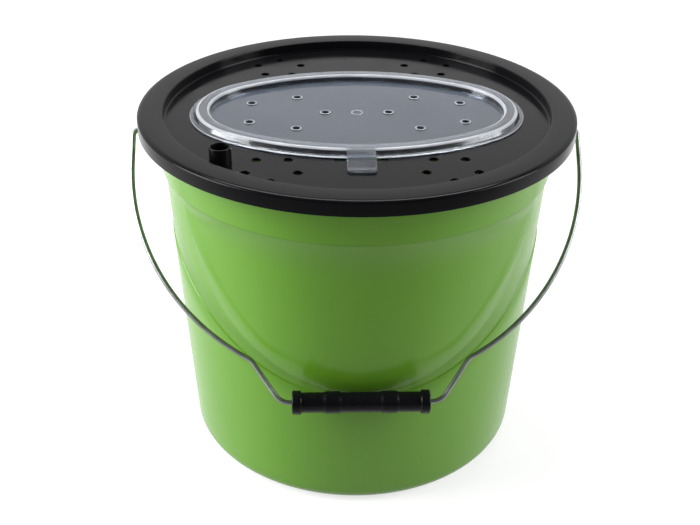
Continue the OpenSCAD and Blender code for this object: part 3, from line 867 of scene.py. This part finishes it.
def make_hatch(clear, painted_highlight, smoky, shaded, dull):
    bm = bmesh.new()
    panel_low = PANEL_Z - HATCH_T
    wall_in = RIDGE_IN - HATCH_T
    # The flange's outer top edge and the ridge's two top edges carry the painted highlight.
    oval_loft(bm, [
        (0, FLANGE_Z, 0.0003), (0, FLANGE_Z + FLANGE_T, 0.0004), (FLANGE_W, FLANGE_Z + FLANGE_T, 0.0005),
        (RIDGE_OUT, RIDGE_TOP, 0.0026), (RIDGE_IN, RIDGE_TOP, 0.0018), (RIDGE_IN, PANEL_Z, 0.0005),
        (RIDGE_IN + 0.0015, PANEL_Z, 0), (RIDGE_IN + 0.0015, panel_low, 0),
        (wall_in, panel_low, 0.0003), (wall_in, RIDGE_TOP - HATCH_T, 0.0004),
        (RIDGE_OUT + 0.6 * HATCH_T, RIDGE_TOP - HATCH_T, 0.0005), (FLANGE_W + HATCH_T, FLANGE_Z, 0.0003),
    ], painted_highlight=(1, 3, 4))
    spots = [(side * x / 1000, y / 1000) for side in (-1, 1) for x, y in PANEL_HOLES]
    holes = [round_hole(x, y, PANEL_HOLE_R, 24) for x, y in spots]
    pierced_plate(bm, oval(RIDGE_IN + 0.0015), holes, PANEL_Z, panel_low, shade=2, wall_shade=3)
    for x, y in spots:
        lathe(bm, softened([
            (PANEL_HOLE_R + 0.0002, PANEL_Z - 0.0003, 0), (PANEL_RING_R, PANEL_Z - 0.0003, 0),
            (PANEL_RING_R, PANEL_Z + PANEL_RING_H, 0.0003),
            (RING_LIGHT_R, PANEL_Z + PANEL_RING_H, 0),
            (PANEL_HOLE_R + 0.0002, PANEL_Z + PANEL_RING_H, 0.0003),
        ], steps=3), centre=(x, y), steps=32, shade=2)
    lathe(bm, softened([
        (GATE_R - 0.0008, PANEL_Z - 0.0003, 0), (GATE_R, PANEL_Z - 0.0003, 0),
        (GATE_R, PANEL_Z + 0.0003, 0.0002), (GATE_R - 0.0008, PANEL_Z + 0.0003, 0.0002),
    ], steps=3), steps=40, shade=2)
    # Raised faces of the panel: painted shade on the middle of each pin hole's ring, painted highlight on the
    # other flat tops of the rings and the gate ring, clear on their sides.
    for face in bm.faces:
        face.normal_update()
        middle = face.calc_center_median()
        if face.material_index != 2 or middle.z < PANEL_Z + 0.0001:
            continue
        nearest = min(hypot(middle.x - x, middle.y - y) for x, y in spots)
        if nearest < RING_LIGHT_R:
            face.material_index = 3
        else:
            face.material_index = 1 if abs(face.normal.z) > 0.6 else 0
    done = len(bm.faces)
    latch_tab(bm)
    bm.faces.ensure_lookup_table()
    for face in bm.faces[done:]:
        face.material_index = 4
    hinge_tongue(bm)
    finish_piece("clear_hatch", bm, "hatch", "hatch", "hatch_clear", clear, painted_highlight, smoky, shaded,
                 dull, sharp=40)


# ================================================================ floor, light and camera

def backdrop_seen(tree):
    """1 for rays that should see the plain white background, 0 for rays that only light."""
    path = tree.nodes.new("ShaderNodeLightPath")
    seen = path.outputs["Is Camera Ray"]
    for name in ("Is Glossy Ray", "Is Transmission Ray"):
        node = tree.nodes.new("ShaderNodeMath")
        node.operation = "MAXIMUM"
        tree.links.new(seen, node.inputs[0])
        tree.links.new(path.outputs[name], node.inputs[1])
        seen = node.outputs["Value"]
    return seen


def faded(tree, output, numbers):
    """A smooth ramp of an output, given as from low, from high, to low, to high."""
    ramp = tree.nodes.new("ShaderNodeMapRange")
    ramp.interpolation_type = "SMOOTHSTEP"
    for socket, number in zip(("From Min", "From Max", "To Min", "To Max"), numbers):
        ramp.inputs[socket].default_value = number
    tree.links.new(output, ramp.inputs["Value"])
    return ramp.outputs["Result"]


def times(tree, first, second):
    node = tree.nodes.new("ShaderNodeMath")
    node.operation = "MULTIPLY"
    for socket, value in zip(node.inputs, (first, second)):
        if isinstance(value, float):
            socket.default_value = value
        else:
            tree.links.new(value, socket)
    return node.outputs["Value"]


def in_reflections(tree, shade):
    """A shade for reflected rays, and 1 for every other ray."""
    path = tree.nodes.new("ShaderNodeLightPath")
    mix = tree.nodes.new("ShaderNodeMix")
    tree.links.new(path.outputs["Is Glossy Ray"], mix.inputs["Factor"])
    mix.inputs["A"].default_value = 1.0
    tree.links.new(shade, mix.inputs["B"])
    return mix.outputs["Result"]


def split_axes(tree, coordinates):
    places = tree.nodes.new("ShaderNodeTexCoord")
    parts = tree.nodes.new("ShaderNodeSeparateXYZ")
    tree.links.new(places.outputs[coordinates], parts.inputs["Vector"])
    return parts.outputs


def make_floor():
    mesh = bpy.data.meshes.new("studio_floor")
    reach = 6
    mesh.from_pydata([(-reach, -reach, 0), (reach, -reach, 0), (reach, reach, 0), (-reach, reach, 0)],
                     [], [(0, 1, 2, 3)])
    floor = bpy.data.objects.new("studio_floor", mesh)
    bpy.context.scene.collection.objects.link(floor)
    material = bpy.data.materials.new("studio_floor")
    material.use_nodes = True
    tree = material.node_tree
    shader = tree.nodes["Principled BSDF"]
    shader.inputs["Base Color"].default_value = (0.35, 0.35, 0.35, 1)
    shader.inputs["Roughness"].default_value = 0.8
    shader.inputs["Specular IOR Level"].default_value = 0.1
    shader.inputs["Emission Color"].default_value = (1, 1, 1, 1)
    front = in_reflections(tree, faded(tree, split_axes(tree, "Object")["Y"], (-0.45, -0.1, 0.0, 1.0)))
    lift = times(tree, times(tree, backdrop_seen(tree), front), 0.7)
    tree.links.new(lift, shader.inputs["Emission Strength"])
    mesh.materials.append(material)


def make_world():
    world = bpy.data.worlds.new("studio")
    bpy.context.scene.world = world
    world.use_nodes = True
    tree = world.node_tree
    background = tree.nodes["Background"]
    background.inputs["Color"].default_value = (1, 1, 1, 1)
    ways = split_axes(tree, "Generated")
    shade = times(tree, faded(tree, ways["Y"], (-0.75, 0.35, 0.06, 1.0)),
                  faded(tree, ways["Z"], (0.53, 0.70, 1.0, 0.15)))
    strength = tree.nodes.new("ShaderNodeMix")
    tree.links.new(backdrop_seen(tree), strength.inputs["Factor"])
    strength.inputs["A"].default_value = 0.25
    tree.links.new(in_reflections(tree, shade), strength.inputs["B"])
    tree.links.new(strength.outputs["Result"], background.inputs["Strength"])


def area_light(name, azimuth, elevation, distance, width, height, power):
    """A soft box that looks at the middle of the bucket."""
    light = bpy.data.lights.new(name, "AREA")
    light.shape = "RECTANGLE"
    light.size = width
    light.size_y = height
    light.energy = power
    aim = Vector((0, 0, 0.15))
    spot = aim + distance * Vector((
        cos(radians(elevation)) * sin(radians(azimuth)),
        -cos(radians(elevation)) * cos(radians(azimuth)),
        sin(radians(elevation)),
    ))
    lamp = bpy.data.objects.new(name, light)
    lamp.matrix_world = Matrix.Translation(spot) @ (spot - aim).to_track_quat("Z", "Y").to_matrix().to_4x4()
    bpy.context.scene.collection.objects.link(lamp)


def make_lights():
    area_light("softbox_left", -82, 26, 1.7, 0.9, 1.3, 44)
    area_light("softbox_right", 80, 26, 1.7, 0.8, 1.2, 22)
    area_light("softbox_top", 180, 66, 1.6, 1.6, 0.35, 20)


def make_camera():
    """The photograph's viewpoint: an orbit round the bucket, then small pan, tilt and roll."""
    spin = Matrix.Rotation(radians(AZIMUTH), 3, "Z")
    across = spin @ Vector((1, 0, 0))
    upward = spin @ Vector((0, sin(radians(ELEVATION)), cos(radians(ELEVATION))))
    forward = spin @ Vector((0, cos(radians(ELEVATION)), -sin(radians(ELEVATION))))
    spot = Vector((0, 0, ORBIT_Z)) - ORBIT_R * forward
    pan = radians(PAN)
    across, forward = cos(pan) * across + sin(pan) * forward, cos(pan) * forward - sin(pan) * across
    tilt = radians(TILT)
    upward, forward = cos(tilt) * upward + sin(tilt) * forward, cos(tilt) * forward - sin(tilt) * upward
    roll = -radians(ROLL)
    across, upward = cos(roll) * across - sin(roll) * upward, sin(roll) * across + cos(roll) * upward
    data = bpy.data.cameras.new("photo_camera")
    data.sensor_width = SENSOR_W
    data.lens = FOCAL_PX * SENSOR_W / PHOTO_W
    data.clip_start = 0.01
    camera = bpy.data.objects.new("photo_camera", data)
    matrix = Matrix((across, upward, -forward)).transposed().to_4x4()
    camera.matrix_world = Matrix.Translation(spot) @ matrix
    bpy.context.scene.collection.objects.link(camera)
    bpy.context.scene.camera = camera


bpy.context.scene.view_settings.view_transform = "Standard"
make_camera()
make_world()
make_floor()
make_lights()
make_bucket(bucket_green())
make_bail(bail_zinc())
make_grip(grip_black())
make_lid(lid_black())
make_port(port_black())
make_hatch(hatch_clear(), hatch_painted_highlight(), hatch_panel(), hatch_shaded(),
           hatch_clear("hatch_tab", 0.04))
